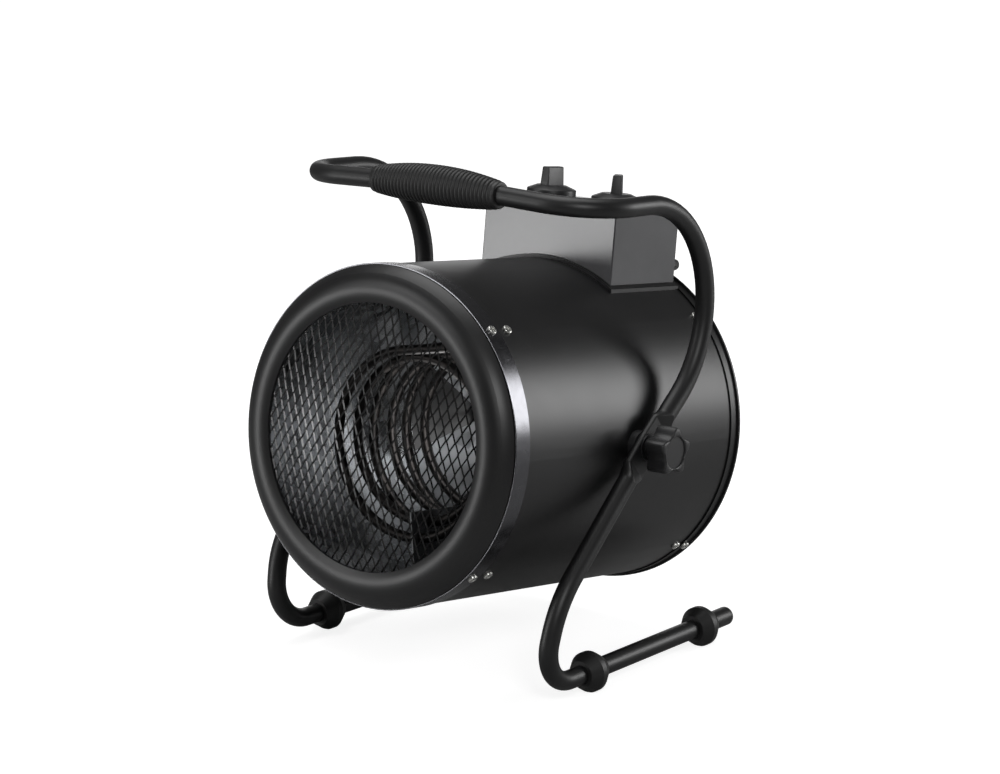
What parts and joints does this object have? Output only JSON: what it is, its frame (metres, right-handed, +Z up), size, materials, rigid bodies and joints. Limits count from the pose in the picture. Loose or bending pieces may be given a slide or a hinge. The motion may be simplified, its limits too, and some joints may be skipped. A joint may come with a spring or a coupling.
{
  "type": "forced air heater",
  "caption": "Drum fan heater with an expanded metal outlet grille, coiled heating tubes and a top control box, tilting in a bent tube stand with a ribbed grip.",
  "frame": {"origin": "on the floor, under the middle of the heater's bounding box", "axes": "+Z up, -Y is the way the warm air leaves, +X to the heater's own left as it blows towards -Y; the stand is mirror symmetric about X = 0"},
  "size_m": [0.3574, 0.354, 0.4214],
  "materials": {
    "satin_black_tube": "satin black powder coat on the bent tube stand",
    "satin_black_sheet": "smooth satin black powder coat on the drum and rings",
    "polished_band": "dark polished steel band, finely brushed round the drum",
    "grey_sheet": "satin dark grey powder coat on the control box",
    "black_mesh": "semi matt black coat on the expanded metal",
    "galvanised": "bright galvanised sheet",
    "zinc": "zinc plated fasteners, small wear",
    "element": "dark oxidised stainless heating tube",
    "black_plastic": "fine matt black moulding",
    "black_rubber": "soft black rubber",
    "fan_metal": "satin pressed aluminium",
    "white_ceramic": "off-white insulating material",
    "motor_black": "black lacquered motor shell"
  },
  "bodies": {
    "stand": {"stand_tube": "satin_black_tube", "handle_grip": "black_rubber", "foot_collars": "black_rubber", "tube_end_caps": "black_rubber", "pivot_washers": "black_plastic"},
    "fan_rotor": {"fan": "fan_metal", "motor_shaft": "zinc"},
    "selector": {"selector_knob": "black_plastic", "selector_spindle": "zinc"},
    "thermostat_dial": {"thermostat_knob": "black_plastic", "thermostat_spindle": "zinc"},
    "clamp_right": {"clamp_knob_right": "black_plastic", "clamp_cap_right": "black_plastic", "clamp_stud_right": "zinc"},
    "clamp_left": {"clamp_knob_left": "black_plastic", "clamp_cap_left": "black_plastic", "clamp_stud_left": "zinc"},
    "heater": {"pivot_spacers": "black_plastic", "pivot_nuts": "zinc", "casing": "satin_black_sheet", "front_ring": "satin_black_sheet", "front_band": "polished_band", "rear_ring": "satin_black_sheet", "rear_grille": "black_mesh", "front_grille": "black_mesh", "grille_clips": "zinc", "front_screws": "zinc", "rear_screws": "zinc", "inner_liner": "galvanised", "liner_posts": "zinc", "heating_element_1": "element", "heating_element_2": "element", "heating_element_3": "element", "element_bushes": "zinc", "element_rib": "galvanised", "thermal_cutout": "white_ceramic", "motor": "motor_black", "motor_bracket": "galvanised", "control_box": "grey_sheet", "box_saddle": "satin_black_sheet", "selector_switch": "black_plastic", "thermostat": "white_ceramic", "cable_gland": "black_plastic", "gland_nut": "black_plastic", "terminal_block": "white_ceramic"}
  },
  "joints": [
    {"name": "body_tilt", "type": "hinge", "parent": "stand", "child": "heater", "pos_m": [0, 0.01344, 0.19275], "axis": [1, 0, 0], "range_deg": [-14, 24]},
    {"name": "fan_spin", "type": "hinge", "parent": "heater", "child": "fan_rotor", "pos_m": [0, 0.03459, 0.18706], "axis": [0, 0.9921, -0.1251], "continuous": true},
    {"name": "selector_turn", "type": "hinge", "parent": "heater", "child": "selector", "pos_m": [-0.03445, 0.12459, 0.36721], "axis": [0, 0.1251, 0.9921], "range_deg": [-270, 0]},
    {"name": "thermostat_turn", "type": "hinge", "parent": "heater", "child": "thermostat_dial", "pos_m": [0.03445, 0.12459, 0.36721], "axis": [0, 0.1251, 0.9921], "range_deg": [-167, 103]},
    {"name": "clamp_right_turn", "type": "hinge", "parent": "heater", "child": "clamp_right", "pos_m": [0.16, 0.01344, 0.19275], "axis": [1, 0, 0], "range_deg": [0, 540]},
    {"name": "clamp_left_turn", "type": "hinge", "parent": "heater", "child": "clamp_left", "pos_m": [-0.16, 0.01344, 0.19275], "axis": [-1, 0, 0], "range_deg": [0, 540]}
  ]
}
